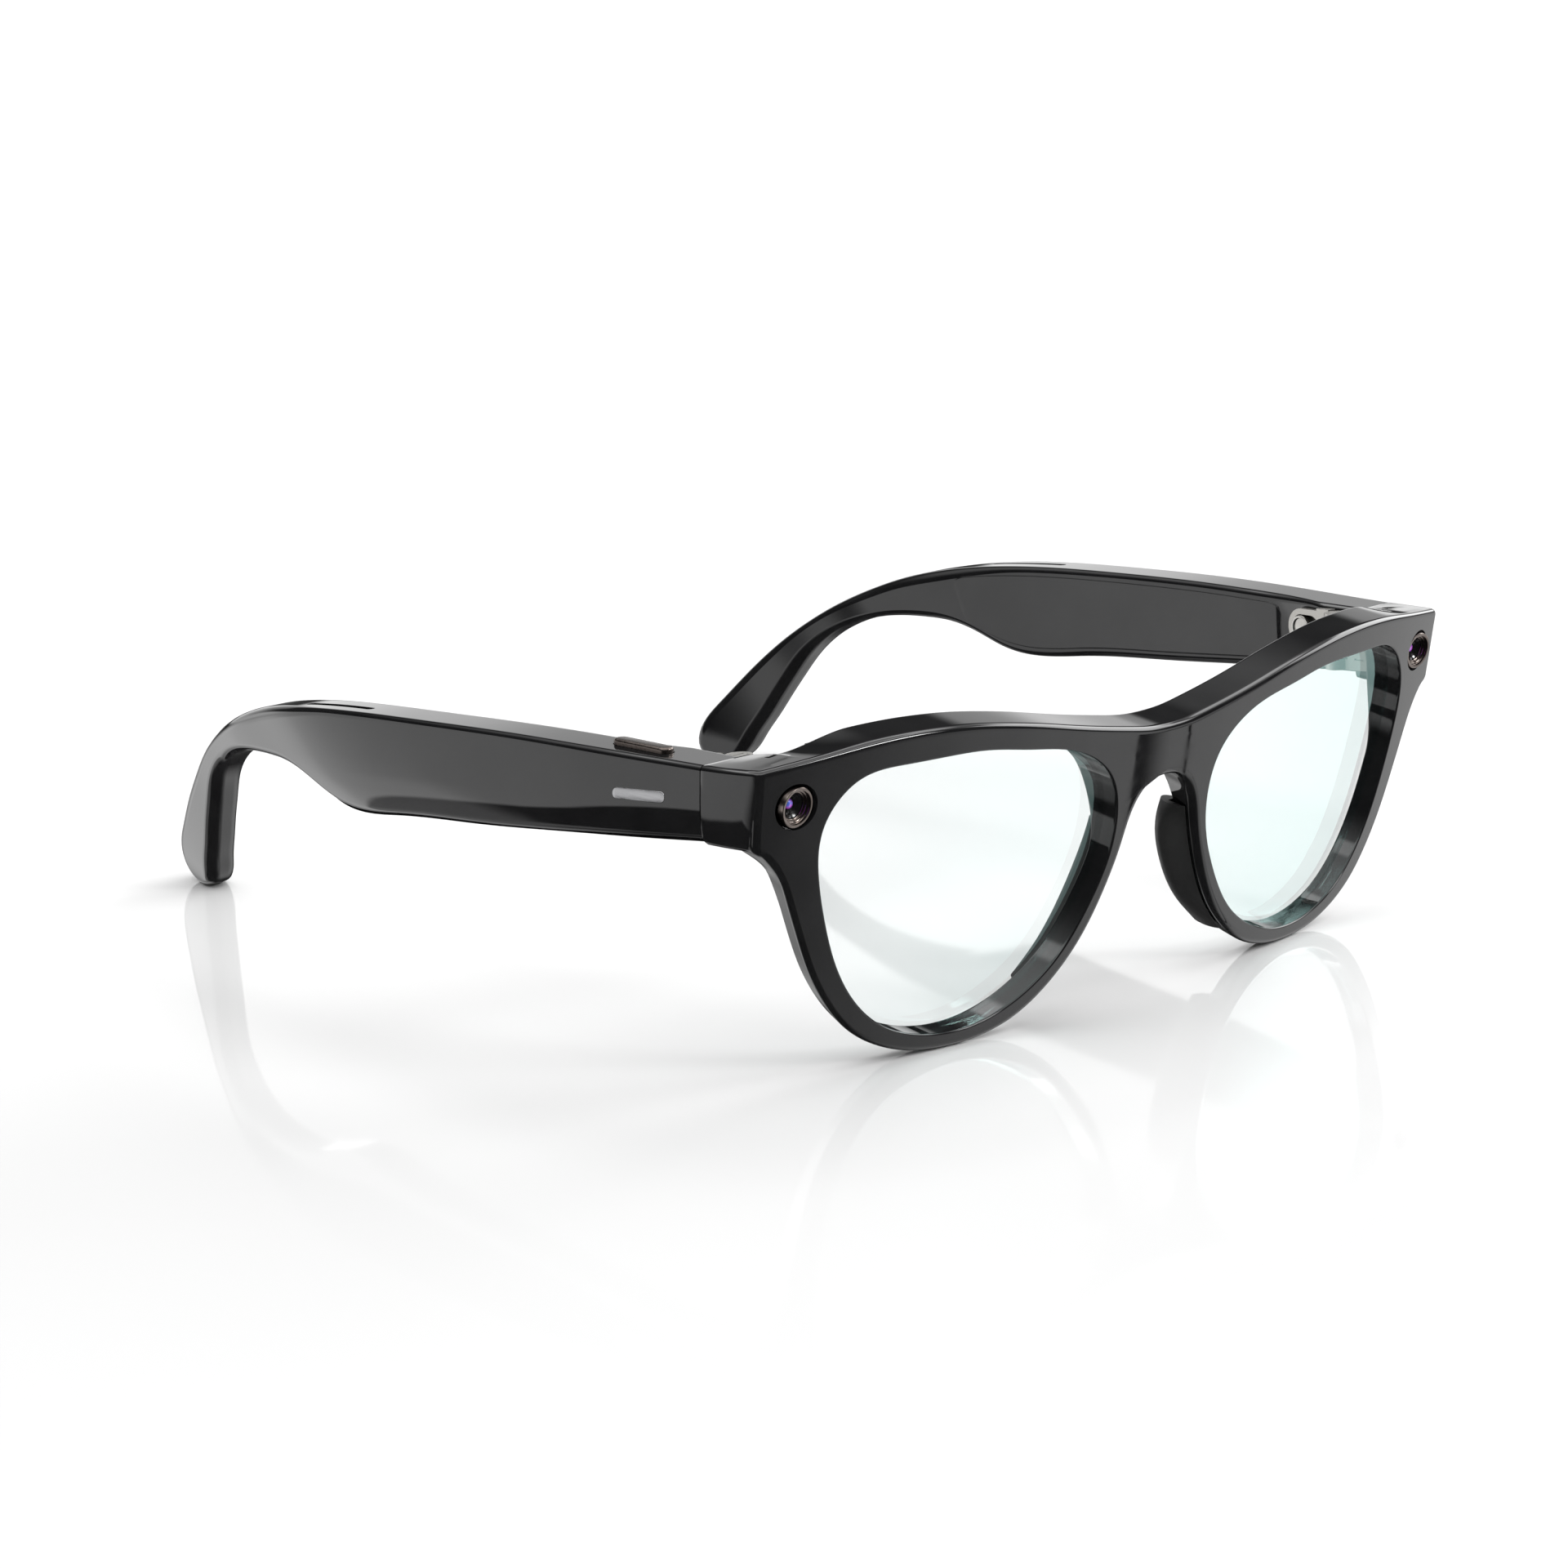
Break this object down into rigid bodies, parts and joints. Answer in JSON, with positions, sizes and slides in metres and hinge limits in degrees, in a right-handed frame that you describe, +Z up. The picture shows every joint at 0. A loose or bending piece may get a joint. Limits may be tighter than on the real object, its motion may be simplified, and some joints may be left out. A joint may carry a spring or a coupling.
{
  "type": "smart glasses",
  "caption": "Black camera glasses with a cat-eye-topped front, clear lenses, two folding temples, a capture button, a power slider, speakers and camera modules.",
  "frame": {"origin": "on the surface that the glasses stand on, under the middle of their box", "axes": "+Z up, +X towards the wearer's left, +Y from the front back to the ears"},
  "size_m": [0.153, 0.15, 0.0471],
  "materials": {
    "frame_gloss": "polished black injection-moulded nylon",
    "cover_gloss": "polished black cover, thin parting line",
    "clear_lens": "clear plastic lens with a pale cyan coating",
    "soft_pad": "satin black",
    "bronze_ring": "anodised gunmetal bronze, turned",
    "module_black": "matt black",
    "coated_glass": "small lens with a violet coating",
    "circuit_board": "solder-masked board",
    "flex_film": "amber polyimide film",
    "gold_contact": "gold-plated contact pins",
    "hinge_steel": "satin nickel, fine blasted",
    "knob_steel": "turned face with concentric brushing",
    "badge_metal": "plain bright metal inlay",
    "sound_mesh": "fine acoustic mesh",
    "battery_wrap": "pouch cell film"
  },
  "bodies": {
    "front": {"front_frame": "frame_gloss", "brow_rear_cover": "cover_gloss", "bridge_flex_circuit": "flex_film", "charging_contacts": "gold_contact", "brow_microphones": "module_black", "lens_left": "clear_lens", "lens_right": "clear_lens", "nose_pad_left": "soft_pad", "nose_pad_right": "soft_pad", "camera_ring_left": "bronze_ring", "camera_ring_right": "bronze_ring", "camera_barrel_left": "module_black", "camera_barrel_right": "module_black", "camera_eye_left": "coated_glass", "camera_eye_right": "coated_glass", "camera_sensor_left": "circuit_board", "camera_sensor_right": "circuit_board", "hinge_front_leaf_left": "hinge_steel", "hinge_front_leaf_right": "hinge_steel", "hinge_screws_left": "hinge_steel", "hinge_screws_right": "hinge_steel", "hinge_pin_left": "hinge_steel", "hinge_pin_right": "hinge_steel"},
    "temple_left": {"temple_shell_left": "frame_gloss", "temple_inner_cover_left": "cover_gloss", "hinge_temple_leaf_left": "hinge_steel", "temple_badge_left": "badge_metal", "speaker_left": "module_black", "speaker_grille_left": "sound_mesh", "battery": "battery_wrap", "power_switch": "module_black"},
    "temple_right": {"temple_shell_right": "frame_gloss", "temple_inner_cover_right": "cover_gloss", "hinge_temple_leaf_right": "hinge_steel", "temple_badge_right": "badge_metal", "speaker_right": "module_black", "speaker_grille_right": "sound_mesh", "main_board": "circuit_board", "touch_sensor": "flex_film", "capture_switch": "module_black"},
    "power_slider": {"power_slider": "knob_steel"},
    "capture_button": {"capture_button": "bronze_ring"}
  },
  "joints": [
    {"name": "temple_left_fold", "type": "hinge", "parent": "front", "child": "temple_left", "pos_m": [0.0636, -0.05455, 0.0387], "axis": [0, 0.0819, 0.9966], "range_deg": [0, 87]},
    {"name": "temple_right_fold", "type": "hinge", "parent": "front", "child": "temple_right", "pos_m": [-0.0636, -0.05455, 0.0387], "axis": [0, -0.0819, -0.9966], "range_deg": [0, 70]},
    {"name": "capture_press", "type": "slide", "parent": "temple_right", "child": "capture_button", "axis": [0, -0.026, -0.9997], "range_m": [0, 0.0004], "stiffness_N_per_m": 2000, "springref_m": -0.0002},
    {"name": "power_slide", "type": "slide", "parent": "temple_left", "child": "power_slider", "axis": [-0.2079, -0.9749, 0.0801], "range_m": [0, 0.0022]}
  ]
}
